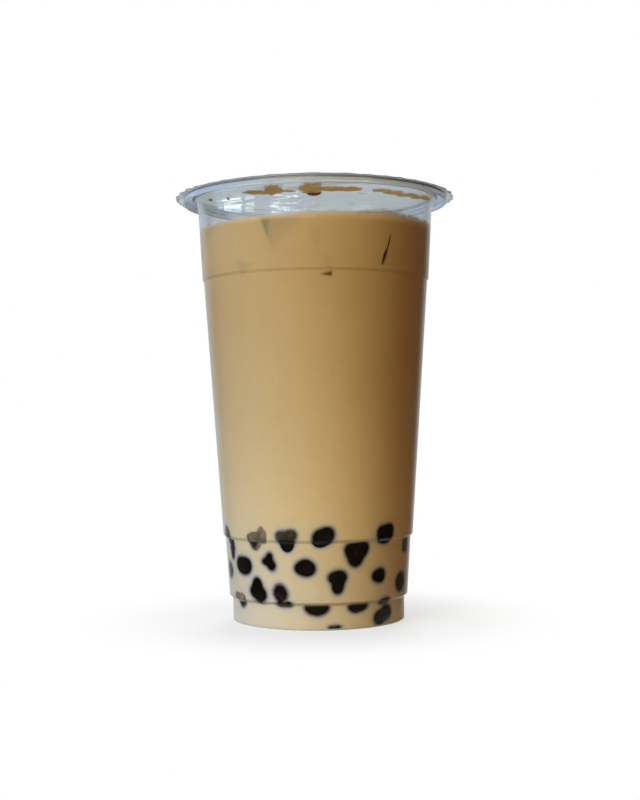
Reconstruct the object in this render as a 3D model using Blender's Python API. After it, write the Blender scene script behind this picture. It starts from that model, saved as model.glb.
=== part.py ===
"""A bubble tea in its sealed clear cup, for Blender 4.5.

The cup is a thin plastic wall with a stacking foot, two low ledges and a rolled lip. A clear film is
sealed over the lip. Inside are the milk tea, up to its level, and below it the bed of tapioca pearls.
Metres, +Z up. The origin is the centre of the foot, on the surface that the cup stands on.
"""

import math
import random

import bmesh
import bpy
from mathutils import Matrix, Vector

MM = 0.001

# Driving sizes of the cup, outside
LIP_DIAMETER = 95.0 * MM
LIP_TOP = 151.8 * MM
LIP_DEPTH = 2.7 * MM
FOOT_RADIUS = 30.9 * MM
FOOT_HEIGHT = 8.0 * MM
WALL = 0.8 * MM
LEDGE_RISE = 1.2 * MM
SIDES = 64

# The conical stretches of the wall between the ledges: (height, radius) at the bottom and at the top
LOWER_CONE = ((FOOT_HEIGHT + LEDGE_RISE, 32.1 * MM), (29.6 * MM, 33.4 * MM))
MAIN_CONE = ((30.6 * MM, 34.2 * MM), (121.2 * MM, 40.3 * MM))
UPPER_CONE = ((122.1 * MM, 40.8 * MM), (145.0 * MM, 42.0 * MM))

# The foot: a standing ring round a raised floor
FOOT_CORNER = 0.9 * MM
STANDING_RING = 2.6 * MM
FLOOR_LIFT = 1.4 * MM
FLOOR_THICKNESS = 1.0 * MM

# The lip: the neck flares out to a flat sealing ring, whose edge is rolled down
NECK_RADIUS = 44.3 * MM
NECK_ARC_POINTS = 4
ROLL_THICKNESS = 0.8 * MM
ROLL_ARC_POINTS = 4

# The film over the lip
GAP = 0.3 * MM
FILM_THICKNESS = 0.3 * MM
FILM_RADIUS = 49.9 * MM
FILM_WAVES = 40
FILM_WAVE = 0.35 * MM
FILM_DROOP = 0.25 * MM
POINTS_PER_WAVE = 4

# What is in the cup
TEA_LEVEL = 140.6 * MM
PEARL_BED_TOP = 37.6 * MM
PEARL_RADIUS = 4.2 * MM
PEARL_UNEVENNESS = 0.09
CORE_DEPTH = 5.2 * MM
SEED = 11

# Where the pearls lie against the wall on the side that shows: (degrees round from the front, height in mm)
SHOWN_PEARLS = (
    (-67, 29), (-46, 28), (-36, 32), (-19, 31), (3, 32), (43, 32), (67, 28),
    (-73, 19), (-53, 21), (-31, 23), (-8, 21), (23, 26), (40, 18), (63, 15),
    (-41, 13), (-24, 12), (11, 17), (-61, 8), (-1, 8), (26, 8), (47, 6),
)
# Further round they follow rows: (height in mm, degrees between neighbours)
FAR_ROWS = ((31.5, 21.0), (22.8, 22.0), (14.6, 21.0), (6.8, 24.0))
FAR_FROM = 82.0
FAR_TO = 278.0


def clear_scene():
    """Removes what the startup file holds."""
    for obj in list(bpy.data.objects):
        bpy.data.objects.remove(obj, do_unlink=True)


def material(name, colour, roughness, alpha=1.0, transmission=0.0):
    """A Principled material in the part's colour."""
    made = bpy.data.materials.new(name)
    made.use_nodes = True
    made.diffuse_color = (*colour, alpha)
    shader = made.node_tree.nodes["Principled BSDF"]
    shader.inputs["Base Color"].default_value = (*colour, 1.0)
    shader.inputs["Roughness"].default_value = roughness
    shader.inputs["Metallic"].default_value = 0.0
    shader.inputs["Alpha"].default_value = alpha
    shader.inputs["Transmission Weight"].default_value = transmission
    return made


def add_object(name, mesh, finish):
    """Links a mesh as one named object, shaded smooth except at its sharp edges."""
    obj = bpy.data.objects.new(name, mesh)
    bpy.context.scene.collection.objects.link(obj)
    mesh.materials.append(finish)
    mesh.shade_smooth()
    mesh.set_sharp_from_angle(angle=math.radians(35))
    return obj


def turned_mesh(name, profile):
    """Spins a closed profile of (radius, height) points about Z into one closed body."""
    shape = bmesh.new()
    ring = [shape.verts.new((radius, 0.0, height)) for radius, height in profile]
    on_axis = [r < 1e-9 for r, _ in profile]
    edges = []
    for k, vertex in enumerate(ring):
        after = (k + 1) % len(ring)
        if not (on_axis[k] and on_axis[after]):
            edges.append(shape.edges.new((vertex, ring[after])))
    bmesh.ops.spin(
        shape, geom=ring + edges, cent=(0, 0, 0), axis=(0, 0, 1),
        angle=math.tau, steps=SIDES, use_merge=True,
    )
    bmesh.ops.remove_doubles(shape, verts=shape.verts, dist=1e-6)
    bmesh.ops.recalc_face_normals(shape, faces=shape.faces)
    mesh = bpy.data.meshes.new(name)
    shape.to_mesh(mesh)
    shape.free()
    return mesh


def arc(centre, radius, start, end, points):
    """Points of an arc in the (radius, height) plane, from start to end degrees."""
    turns = [math.radians(start + (end - start) * k / (points - 1)) for k in range(points)]
    return [(centre[0] + radius * math.cos(a), centre[1] + radius * math.sin(a)) for a in turns]


def moved_in(path, depth):
    """The path moved towards the axis by the wall's thickness, with mitred corners. It runs upwards."""
    normals = []
    for low, high in zip(path, path[1:]):
        along = Vector((high[0] - low[0], high[1] - low[1])).normalized()
        normals.append(Vector((-along.y, along.x)))
    moved = []
    for k, point in enumerate(path):
        before = normals[max(k - 1, 0)]
        after = normals[min(k, len(normals) - 1)]
        mitre = (before + after).normalized()
        step = mitre * (depth / mitre.dot(after))
        moved.append((point[0] + step.x, point[1] + step.y))
    return moved


def wall_path():
    """The wall's outer face from the top of the foot to the foot of the neck, as (radius, height)."""
    path = [(FOOT_RADIUS, FOOT_HEIGHT)]
    for bottom, top in (LOWER_CONE, MAIN_CONE, UPPER_CONE):
        path += [(bottom[1], bottom[0]), (top[1], top[0])]
    return path


def inside_path():
    """The wall's inner face over the same stretch."""
    return moved_in(wall_path(), WALL)


def inside_radius(height):
    """The cavity's radius at a height, for what is fitted into it."""
    path = [(inside_path()[0][0], 0.0)] + inside_path()
    for low, high in zip(path, path[1:]):
        if height <= high[1]:
            share = (height - low[1]) / (high[1] - low[1])
            return low[0] + share * (high[0] - low[0])
    return path[-1][0]


def neck_arc():
    """The neck's outer face, a quarter-like sweep from the wall's slope out to the sealing ring."""
    start = UPPER_CONE[1]
    underside = LIP_TOP - WALL
    points = []
    for k in range(1, NECK_ARC_POINTS + 1):
        share = k / NECK_ARC_POINTS
        points.append((
            start[1] + (NECK_RADIUS - start[1]) * share ** 2,
            start[0] + (underside - start[0]) * share,
        ))
    return points


def lip_profile():
    """The rolled lip: the sealing ring's underside, the roll's inner face, its bottom, outer face and top."""
    outer = LIP_DIAMETER / 2
    bottom = LIP_TOP - LIP_DEPTH
    half = ROLL_THICKNESS / 2
    roll_bottom = arc((outer - half, bottom + half), half, 180, 360, ROLL_ARC_POINTS)
    shoulder = arc((outer - half, LIP_TOP - half), half, 0, 90, ROLL_ARC_POINTS)
    inner_corner = (outer - ROLL_THICKNESS, LIP_TOP - WALL)
    return [inner_corner] + roll_bottom + shoulder


def cup_profile():
    """The closed section of the cup: up its outer face, over the lip, down its inner face and across the floor."""
    foot = arc((FOOT_RADIUS - FOOT_CORNER, FOOT_CORNER), FOOT_CORNER, 270, 360, 4)
    ring_inner = FOOT_RADIUS - FOOT_CORNER - STANDING_RING
    floor_top = FLOOR_LIFT + FLOOR_THICKNESS
    inside_neck = moved_in([wall_path()[-1]] + neck_arc(), WALL)[1:]
    inside_neck[-1] = (NECK_RADIUS - WALL, LIP_TOP - WALL)
    outside = foot + wall_path() + neck_arc() + lip_profile()
    inside = [(NECK_RADIUS, LIP_TOP)] + inside_neck[::-1] + inside_path()[::-1]
    channel = [(FOOT_RADIUS - WALL, FLOOR_THICKNESS + FOOT_CORNER),
               (FOOT_RADIUS - WALL - FOOT_CORNER, FLOOR_THICKNESS),
               (ring_inner + FLOOR_THICKNESS, FLOOR_THICKNESS),
               (ring_inner, floor_top)]
    underside = [(0.0, floor_top), (0.0, FLOOR_LIFT),
                 (ring_inner - FLOOR_LIFT / 2, FLOOR_LIFT), (ring_inner, 0.0)]
    return outside + inside + channel + underside


def build_cup(finish):
    """The whole cup as one turned body."""
    return add_object("cup", turned_mesh("cup", cup_profile()), finish)


def build_film(finish):
    """The sealed film: a flat disc whose cut edge is wavy and droops a little past the lip."""
    steps = FILM_WAVES * POINTS_PER_WAVE
    flat_rings = (NECK_RADIUS * 0.5, NECK_RADIUS, LIP_DIAMETER / 2)
    base = LIP_TOP + GAP
    shape = bmesh.new()
    rings = []
    for radius in flat_rings:
        rings.append([
            shape.verts.new((radius * math.cos(a), radius * math.sin(a), base))
            for a in (math.tau * k / steps for k in range(steps))
        ])
    edge = []
    for k in range(steps):
        turn = math.tau * k / steps
        wave = math.cos(turn * FILM_WAVES)
        radius = FILM_RADIUS + FILM_WAVE * wave
        height = base - FILM_DROOP * (1.0 + math.sin(3 * turn) * 0.5)
        edge.append(shape.verts.new((radius * math.cos(turn), radius * math.sin(turn), height)))
    rings.append(edge)
    shape.faces.new(rings[0])
    for inner, outer in zip(rings, rings[1:]):
        for k in range(steps):
            after = (k + 1) % steps
            shape.faces.new((inner[k], outer[k], outer[after], inner[after]))
    bmesh.ops.recalc_face_normals(shape, faces=shape.faces)
    mesh = bpy.data.meshes.new("seal_film")
    shape.to_mesh(mesh)
    shape.free()
    film = add_object("seal_film", mesh, finish)
    thickness = film.modifiers.new("thickness", "SOLIDIFY")
    thickness.thickness = FILM_THICKNESS
    thickness.offset = 1.0
    return film


def build_tea(finish):
    """The milk tea from the top of the pearl bed to its level, a fit inside the wall."""
    bottom = PEARL_BED_TOP
    side = [p for p in moved_in(inside_path(), GAP) if bottom < p[1] < TEA_LEVEL]
    profile = [(0.0, bottom), (inside_radius(bottom) - GAP, bottom)]
    profile += side
    profile += [(inside_radius(TEA_LEVEL) - GAP, TEA_LEVEL), (0.0, TEA_LEVEL)]
    return add_object("milk_tea", turned_mesh("milk_tea", profile), finish)


def pearl_places():
    """(degrees, height) of each pearl at the wall: those that show, then the rows further round."""
    draw = random.Random(SEED)
    places = [(turn, height * MM) for turn, height in SHOWN_PEARLS]
    for row, (height, step) in enumerate(FAR_ROWS):
        turn = FAR_FROM + step * 0.5 * (row % 2)
        while turn < FAR_TO:
            places.append((
                turn + draw.uniform(-0.12, 0.12) * step,
                (height + draw.uniform(-1.0, 1.0)) * MM,
            ))
            turn += step
    return places


def build_pearl(turn, height, draw):
    """One few-sided pearl touching the fit gap inside the wall at this turn and height."""
    lowest = FLOOR_LIFT + FLOOR_THICKNESS + GAP + PEARL_RADIUS
    highest = PEARL_BED_TOP - GAP - PEARL_RADIUS
    height = min(max(height, lowest), highest)
    reach = inside_radius(height - PEARL_RADIUS) - 1.5 * GAP - PEARL_RADIUS
    angle = math.radians(turn - 90)
    shape = bmesh.new()
    bmesh.ops.create_icosphere(shape, subdivisions=2, radius=PEARL_RADIUS)
    stretch = [1.0 - draw.uniform(0.0, 2 * PEARL_UNEVENNESS) for _ in range(3)]
    bmesh.ops.scale(shape, verts=shape.verts, vec=stretch)
    spin = Matrix.Rotation(draw.uniform(0, math.tau), 4, (draw.random(), draw.random(), 1.0))
    place = Matrix.Translation((reach * math.cos(angle), reach * math.sin(angle), height))
    bmesh.ops.transform(shape, matrix=place @ spin, verts=shape.verts)
    mesh = bpy.data.meshes.new("pearl")
    shape.to_mesh(mesh)
    shape.free()
    return bpy.data.objects.new("pearl", mesh)


def build_pearl_bed(finish):
    """The bed of pearls: a core with the pearls that show at the wall fused on, as one body."""
    floor = FLOOR_LIFT + FLOOR_THICKNESS + GAP
    top = PEARL_BED_TOP - PEARL_RADIUS
    core = [(0.0, floor), (inside_radius(floor) - CORE_DEPTH, floor),
            (inside_radius(top) - CORE_DEPTH, top), (0.0, top)]
    bed = add_object("pearl_bed", turned_mesh("pearl_bed", core), finish)
    draw = random.Random(SEED)
    heap = bpy.data.collections.new("pearls")
    bpy.context.scene.collection.children.link(heap)
    for turn, height in pearl_places():
        heap.objects.link(build_pearl(turn, height, draw))
    union = bed.modifiers.new("union", "BOOLEAN")
    union.operation = "UNION"
    union.operand_type = "COLLECTION"
    union.collection = heap
    union.solver = "EXACT"
    bpy.context.view_layer.update()
    graph = bpy.context.evaluated_depsgraph_get()
    fused = bpy.data.meshes.new_from_object(bed.evaluated_get(graph))
    bed.modifiers.clear()
    bed.data = fused
    for pearl in list(heap.objects):
        bpy.data.objects.remove(pearl, do_unlink=True)
    bpy.data.collections.remove(heap)
    return bed


def main():
    clear_scene()
    plastic = material("clear_plastic", (0.86, 0.90, 0.92), 0.08, alpha=0.3, transmission=1.0)
    film = material("clear_film", (0.90, 0.93, 0.95), 0.15, alpha=0.3, transmission=1.0)
    tea = material("milk_tea", (0.60, 0.40, 0.20), 0.35)
    pearl = material("tapioca", (0.020, 0.014, 0.012), 0.25)
    build_cup(plastic)
    build_film(film)
    build_tea(tea)
    build_pearl_bed(pearl)


main()
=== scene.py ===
"""Dresses the sealed cup of bubble tea: cup, heat-sealed film, milk tea, pearls, ice, foam and stage."""
import math

import bpy
import numpy as np
from bpy.props import FloatProperty, FloatVectorProperty, IntProperty, PointerProperty
from bpy.types import Operator, Panel, PropertyGroup
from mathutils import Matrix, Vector


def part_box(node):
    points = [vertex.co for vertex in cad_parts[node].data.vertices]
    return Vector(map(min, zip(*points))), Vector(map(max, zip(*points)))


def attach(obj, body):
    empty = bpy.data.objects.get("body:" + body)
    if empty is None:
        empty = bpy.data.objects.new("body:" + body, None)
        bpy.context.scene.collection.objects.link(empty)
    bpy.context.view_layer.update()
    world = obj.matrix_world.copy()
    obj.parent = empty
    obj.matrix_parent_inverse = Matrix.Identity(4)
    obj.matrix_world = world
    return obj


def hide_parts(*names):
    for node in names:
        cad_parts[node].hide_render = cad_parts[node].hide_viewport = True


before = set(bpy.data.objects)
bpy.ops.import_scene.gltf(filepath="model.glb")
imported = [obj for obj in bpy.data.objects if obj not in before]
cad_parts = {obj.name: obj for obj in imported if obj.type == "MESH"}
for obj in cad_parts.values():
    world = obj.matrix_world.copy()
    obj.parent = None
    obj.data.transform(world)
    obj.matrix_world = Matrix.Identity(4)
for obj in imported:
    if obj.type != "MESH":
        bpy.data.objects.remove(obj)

bl_info = {
    "name": "Sealed Bubble Tea",
    "version": (1, 0, 0),
    "blender": (4, 5, 0),
    "location": "View3D > Sidebar > Bubble Tea",
    "description": "Builds a film-sealed clear cup of milk tea with tapioca pearls",
    "category": "Add Mesh",
}

MM = 0.001

# The cup's outer face as (radius, height, corner radius), in mm, from the foot's underside to the neck
OUTER_FACE = (
    (27.4, 0.0, 0.3), (30.9, 0.0, 0.4), (30.9, 8.0, 0.25), (32.1, 9.2, 0.35),
    (33.4, 29.6, 0.3), (34.2, 30.6, 0.35), (40.3, 121.2, 0.25), (40.8, 122.1, 0.35), (42.0, 145.0, 0.0),
)
WALL_CORNERS = OUTER_FACE[2:]
# Heights of the floor's two sides and of the channel between the floor and the wall, and the neck's radius
# at the lip, in mm
FLOOR_UNDERSIDE = 1.4
FLOOR_TOP = 2.4
CHANNEL_HEIGHT = 0.45
NECK_RADIUS = 44.3

# How far the pearls and the ice stand into the wall past the drink's own face, in mm, so that it doesn't
# hide them
PROUD = 0.10
# How much the wall widens for each mm of height, above the foot
WALL_SLOPE = 0.065
# A patch with more tea over it than this (mm) touches the wall nowhere
SUNK = 0.5
# How far past its outline a patch is 1 mm deep in the tea, in mm
VEIL_WIDTH = 0.32

# Points round the cup, the film, the drink and the foam
CUP_COLUMNS = 256
FILM_COLUMNS = 720
TEA_COLUMNS = 384
FOAM_COLUMNS = 480
# Rows and columns of points on each pearl, edge of ice, splash and half bubble
PEARL_GRID = (22, 48)
ICE_GRID = (20, 40)
SPLASH_GRID = (14, 48)
BUBBLE_GRID = (9, 20)

# Half bubbles in all, and how many of them lie at the wall, on the side that shows, and above the level
BUBBLES = 56
BUBBLES_AT_WALL = 32
BUBBLES_IN_FRONT = 18
BUBBLES_LIFTED = 12
BUBBLE_SKIN = 0.12

# Where plastic turns hazy, in metres: outwards in the lip and in the film's weld to it, and below in the foot
LIP_HAZE = (0.0442, 0.0452)
WELD_HAZE = (0.0440, 0.0455)
FOOT_HAZE = (0.0003, 0.0009)
# The share of the light that goes on through a hazy lip
HAZY = 0.79
LIP_TINT = (0.85, 0.93, 1.0)

# In place of the tea over it, the mark of a small pearl that is pressed into a ledge and follows the wall
# there
PRESSED = -1.0
# Where the pearls lie against the wall on the side that shows: degrees round from the front, height and tea
# over it (mm), or PRESSED, then how far it reaches (mm) to the right, up and right, up, up and left, left,
# down and left, down, down and right
SHOWN_PEARLS = (
    (-70, 31.4, 0.25, 2.2, 2.0, 2.6, 2.8, 2.4, 1.8, 2.6, 2.8),
    (-66, 26.8, 0.10, 1.7, 2.0, 3.6, 2.0, 1.7, 1.9, 3.6, 2.0),
    (-73, 18.8, 0.05, 2.4, 2.2, 2.4, 2.4, 2.2, 2.4, 2.6, 2.4),
    (-41, 30.9, 0.54, 3.4, 3.1, 2.4, 2.8, 3.2, 3.2, 4.0, 3.4),
    (-42, 30.0, 0.24, 1.7, 1.6, 1.4, 1.6, 1.9, 1.8, 2.2, 1.6),
    (-35, 32.3, 0.60, 2.3, 2.4, 3.0, 2.5, 2.1, 2.4, 3.1, 2.6),
    (-19, 31.3, 0.22, 3.3, 4.0, 2.6, 3.4, 3.2, 2.9, 4.1, 3.2),
    (3, 32.1, 0.0, 3.4, 3.8, 2.9, 2.9, 3.5, 3.8, 3.0, 2.8),
    (43, 32.1, 0.0, 3.5, 4.1, 3.0, 3.5, 3.6, 3.3, 2.9, 3.3),
    (68, 27.4, 0.30, 2.5, 3.0, 2.6, 2.7, 2.5, 3.0, 2.3, 3.0),
    (23, 26.0, 0.0, 4.0, 5.2, 3.7, 4.3, 3.6, 3.6, 4.3, 3.3),
    (-53, 21.2, 0.0, 4.2, 3.6, 2.8, 3.6, 4.1, 3.3, 2.9, 3.5),
    (-31, 23.3, 0.06, 1.8, 1.9, 2.9, 2.0, 2.7, 1.7, 2.5, 2.9),
    (-8, 21.4, 0.0, 3.3, 2.9, 2.8, 2.9, 3.4, 2.8, 2.6, 3.0),
    (11, 16.9, 0.0, 2.9, 3.8, 3.3, 3.2, 2.4, 2.2, 4.2, 3.1),
    (40, 17.8, 0.0, 2.5, 2.6, 2.3, 2.4, 2.8, 2.3, 2.1, 2.4),
    (63, 14.5, 0.0, 3.2, 3.1, 3.1, 3.1, 3.2, 3.1, 3.1, 3.1),
    (-41, 12.9, 0.0, 3.3, 2.9, 4.4, 3.1, 3.4, 2.9, 3.4, 4.0),
    (-24, 12.3, 0.10, 2.3, 2.5, 3.2, 2.9, 2.4, 2.2, 2.6, 2.4),
    (-22, 8.9, PRESSED, 2.5, 1.1, 0.6, 1.1, 2.5, 1.1, 0.7, 1.1),
    (-60, 9.4, 0.60, 4.0, 2.8, 1.9, 2.8, 3.8, 3.0, 3.4, 2.9),
    (-59.5, 8.0, 0.10, 1.9, 1.5, 1.0, 1.5, 2.0, 1.5, 1.6, 1.4),
    (-1, 7.9, 0.0, 3.8, 3.6, 3.5, 3.6, 4.1, 3.1, 2.6, 3.0),
    (26, 8.0, 0.0, 3.5, 3.2, 3.0, 3.0, 3.5, 2.9, 2.2, 2.4),
    (46.5, 8.7, PRESSED, 2.2, 1.3, 0.9, 1.1, 2.3, 1.2, 0.9, 1.1),
    (46, 3.8, 0.0, 4.2, 4.0, 2.4, 2.3, 3.8, 3.9, 2.4, 2.4),
    (10, 0.9, 0.0, 1.9, 0.7, 0.4, 0.6, 1.8, 0.6, 0.6, 0.6),
)
# Further round they follow rows: (height in mm, degrees between neighbours)
FAR_ROWS = ((31.5, 21.0), (22.8, 22.0), (14.6, 21.0), (6.8, 24.0))
FAR_FROM = 90.0
FAR_TO = 276.0
# Rings of pearls that lie on the floor: (mm from the axis, how many)
FLOOR_RINGS = ((24.0, 15), (15.0, 9), (6.5, 4))

# Edges of ice that touch the wall: degrees round from the front, height, half length, half width (mm), lean
# (degrees)
ICE_EDGES = (
    (34.9, 126.4, 3.1, 0.58, 72), (36.7, 129.6, 4.8, 0.24, 75),
    (97, 132.5, 2.2, 0.30, 62), (157, 126.5, 3.1, 0.42, -58),
    (201, 135.0, 1.8, 0.26, 20), (283, 130.5, 2.6, 0.34, 76),
)
# Nearer the axis than this (mm), the drink's rows don't follow the wall
INSIDE_WALL = 29.0
# The painted shade of ice marks the drink above this height, in mm
ICE_ABOVE = 117.0
# Faces of ice that show softly through the tea as painted shade: three corners as (degrees round, height
# in mm), how strongly the painted shade darkens the tea, and how soft each side is (mm) from the first corner
# on
ICE_SHADE_FACES = (
    (((-27.0, 139.0), (-5.6, 139.0), (-20.8, 128.4)), 0.17, (1.6, 4.5, 1.4)),
    (((-25.6, 139.2), (-12.0, 139.2), (-21.2, 130.0)), 0.13, (1.4, 5.0, 1.2)),
    (((-26.2, 138.8), (-21.4, 138.6), (-22.8, 132.2)), 0.52, (1.0, 2.2, 0.8)),
    (((1.4, 119.9), (8.2, 121.3), (7.9, 119.3)), 1.00, (0.6, 0.6, 0.6)),
    (((-3.0, 135.0), (3.0, 134.6), (0.0, 127.5)), 0.10, (1.2, 1.2, 1.2)),
    (((2.0, 126.5), (9.0, 125.6), (7.0, 120.6)), 0.11, (1.2, 1.2, 1.2)),
    (((-42.0, 126.0), (-31.0, 124.4), (-38.0, 120.8)), 0.16, (1.2, 1.4, 1.2)),
    (((-70.0, 139.0), (-52.0, 139.4), (-66.0, 134.0)), 0.16, (1.0, 1.6, 1.4)),
    (((70.0, 138.6), (91.0, 137.4), (80.0, 124.4)), 0.32, (1.2, 3.6, 1.4)),
    (((127.0, 130.4), (131.0, 138.0), (143.0, 126.0)), 0.22, (1.6, 2.4, 1.4)),
    (((172.0, 138.6), (198.0, 138.6), (183.0, 129.0)), 0.30, (1.0, 4.0, 1.2)),
    (((173.5, 138.4), (180.0, 138.4), (177.5, 133.6)), 0.70, (0.9, 2.0, 0.8)),
    (((224.0, 128.0), (238.0, 126.6), (229.0, 119.8)), 0.20, (1.2, 2.4, 1.4)),
    (((252.0, 139.0), (262.0, 139.0), (266.0, 131.0)), 0.26, (1.2, 2.0, 1.8)),
)

# How far the drink's edge at the wall lies below its level: (degrees round from the front, mm)
EDGE_FALL = (
    (-90, 0.8), (-75, 0.9), (-51, 1.5), (-36, 1.0), (-23, 0.75), (0, 0.45), (40, 0.4), (59, 1.1), (75, 0.9),
    (90, 0.8), (180, 0.5), (270, 0.8),
)

# Tea that splashed on the film's underside: x, y of the middle and half width, half depth, thickness (mm)
FILM_SPLASHES = (
    (-14.4, -18.6, 3.8, 9.6, 0.70), (-20.2, -13.8, 4.8, 5.4, 0.45), (-9.6, -16.0, 2.8, 1.8, 0.25),
    (-1.0, -21.5, 4.8, 11.4, 0.80), (-0.3, -11.6, 2.4, 1.5, 1.25), (6.3, -20.0, 4.2, 5.0, 0.50),
    (12.2, -18.6, 4.9, 4.4, 0.45), (23.4, -15.6, 3.6, 2.8, 0.50), (28.0, -10.4, 3.8, 3.6, 0.60),
    (33.0, -5.4, 4.0, 3.4, 0.60), (38.0, -0.4, 3.6, 3.6, 0.55), (41.0, 4.0, 1.9, 2.6, 0.40),
    (-38.0, 1.1, 0.9, 3.0, 0.45), (-31.3, -1.0, 0.6, 3.4, 0.40),
)
# The seep of tea in the seal, from and to in degrees round from the front
SEEP = (-6.0, 36.0)

# The room that the plastic shows and reflects. Its base colour, and its glows: where each lies, the degrees
# from there to where it starts to fade and to where it ends, and its colour
ROOM_BASE = (0.055, 0.038, 0.018)
MAIN_GLOW = ((-0.09, 1.0, 0.12), 14, 48)
ROOM_GLOWS = (
    ((-0.8, 0.55, 0.15), 5, 40, (0.07, 0.08, 0.09)),
    ((0.72, 0.68, 0.15), 8, 40, (0.060, 0.063, 0.066)),
    ((0, -0.2, -1), 10, 85, (0.26, 0.235, 0.19)),
    ((-0.7, -0.45, 0.75), 5, 13, (2.2, 2.4, 2.5)),
)
# The panes of a window behind the cup: left, right, low and high, as X and Z over Y, and colour
WINDOW_PANES = (
    (-0.0907, -0.0852, 0.1605, 0.1648, (1.0, 1.1, 1.15)),
    (-0.0827, -0.0637, 0.1606, 0.1656, (2.7, 2.9, 3.0)),
    (-0.0587, -0.0517, 0.1600, 0.1665, (1.0, 1.1, 1.15)),
    (-0.0357, -0.0287, 0.1638, 0.1680, (2.0, 2.2, 2.3)),
    (-0.0257, -0.0212, 0.1638, 0.1680, (2.0, 2.2, 2.3)),
    (-0.0182, -0.0142, 0.1638, 0.1680, (2.0, 2.2, 2.3)),
)
PANE_EDGE = 0.001
# Soft lamps: name, place, target and size in metres, power in watts and colour
LAMPS = (
    ("key", (-0.56, -0.71, 0.40), (0, 0, 0.075), (0.6, 0.6), 8.0, (1.0, 0.968, 0.732)),
    ("cool_side", (-0.60, -0.20, 0.20), (0, 0, 0.075), (0.3, 0.3), 2.0, (0.02, 0.19, 1.0)),
    ("warm_fill", (0.32, -0.44, 0.01), (0, 0, 0.04), (0.25, 0.15), 0.45, (1.0, 0.46, 0.176)),
    ("rear", (0.08, 0.75, 0.42), (0, 0, 0.075), (0.4, 0.4), 5.4, (0.94, 0.95, 0.92)),
)
# The frame's longer side in pixels, and how far the picture is shifted in it
FRAME_PIXELS = 800
SHIFT_PIXELS = (3, 17)


def mm(value):
    """Millimetres from a length in metres."""
    return value / MM


def length_setting(name, description, default, low, high):
    """A length in metres."""
    return FloatProperty(
        name=name, description=description, default=default, min=low, max=high,
        subtype="DISTANCE", unit="LENGTH")


def colour_setting(name, description, default, high=1):
    """A colour, or a light of up to high in each channel."""
    return FloatVectorProperty(
        name=name, description=description, default=default, min=0, max=high, size=3, subtype="COLOR")


class CupSettings(PropertyGroup):
    wall: length_setting("Wall", "Thickness of the cup's wall", 0.8 * MM, 0.3 * MM, 2 * MM)
    lip_diameter: length_setting(
        "Lip", "Diameter over the rolled lip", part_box("cup")[1].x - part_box("cup")[0].x, 0.08, 0.11)
    lip_top: length_setting("Lip height", "Height of the lip's sealing face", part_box("cup")[1].z, 0.1, 0.2)
    lip_depth: length_setting("Lip depth", "How far the rolled edge hangs down", 2.7 * MM, 1 * MM, 5 * MM)
    roll: length_setting("Roll", "Thickness of the rolled edge", 0.9 * MM, 0.3 * MM, 2 * MM)
    tint: colour_setting("Plastic", "Colour of the clear plastic", (0.955, 0.970, 0.980))


class FilmSettings(PropertyGroup):
    radius: length_setting("Edge", "Mean radius of the film's cut edge", 49.75 * MM, 0.045, 0.055)
    thickness: length_setting("Film", "Thickness of the film", 0.28 * MM, 0.05 * MM, 1 * MM)
    waves: IntProperty(name="Waves", description="Crinkles round the film's edge", default=40, min=6, max=80)
    wave: length_setting("Wave", "How far a crinkle moves the edge in and out", 0.42 * MM, 0, 2 * MM)
    droop: length_setting("Droop", "How far the edge hangs down at the sides", 0.9 * MM, 0, 3 * MM)
    tint: colour_setting("Film colour", "Colour of the clear film", (0.89, 0.945, 0.99))


class TeaSettings(PropertyGroup):
    level: length_setting("Level", "Height of the drink's surface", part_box("milk_tea")[1].z, 0.05, 0.15)
    reach: length_setting("Reach", "How far into the wall the drink reaches", 0.15 * MM, 0, 0.5 * MM)
    # The colours above and below carry painted light as well: the tea is creamier lower down partly for light
    # bounced up from the floor
    upper: colour_setting("Tea above", "Colour of the milk tea near its surface", (0.49, 0.345, 0.149))
    lower: colour_setting("Tea below", "Colour of the milk tea among the pearls", (0.70, 0.575, 0.325))
    halo: colour_setting("Halo", "Colour of the thin milk round each pearl", (0.42, 0.45, 0.43))
    spread: length_setting("Spread", "Width of the thin milk round each pearl", 2.3 * MM, 0.2 * MM, 4 * MM)


class PearlSettings(PropertyGroup):
    radius: length_setting("Pearl", "Radius of a whole pearl", 4.2 * MM, 2 * MM, 6 * MM)
    colour: colour_setting("Tapioca", "Colour of the pearls", (0.0022, 0.0018, 0.0016))
    seed: IntProperty(name="Seed", description="Seed of the pearls' uneven shapes", default=11, min=0)


class StageSettings(PropertyGroup):
    lens: FloatProperty(
        name="Lens", description="The camera's focal length", default=58.5, min=20, max=200,
        subtype="DISTANCE_CAMERA")
    distance: length_setting("Distance", "From the camera to the cup's axis", 471.4 * MM, 0.1, 2)
    height: length_setting("Height", "The camera's height above the surface", 72.5 * MM, 0, 1)
    roll: FloatProperty(
        name="Roll", description="The camera's lean about its own axis", default=math.radians(0.57),
        subtype="ANGLE", unit="ROTATION")
    surroundings: colour_setting(
        "Surroundings", "Light that the clear plastic shows and reflects", (0.47, 0.53, 0.57), 2)


# Paths and grids

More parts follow.
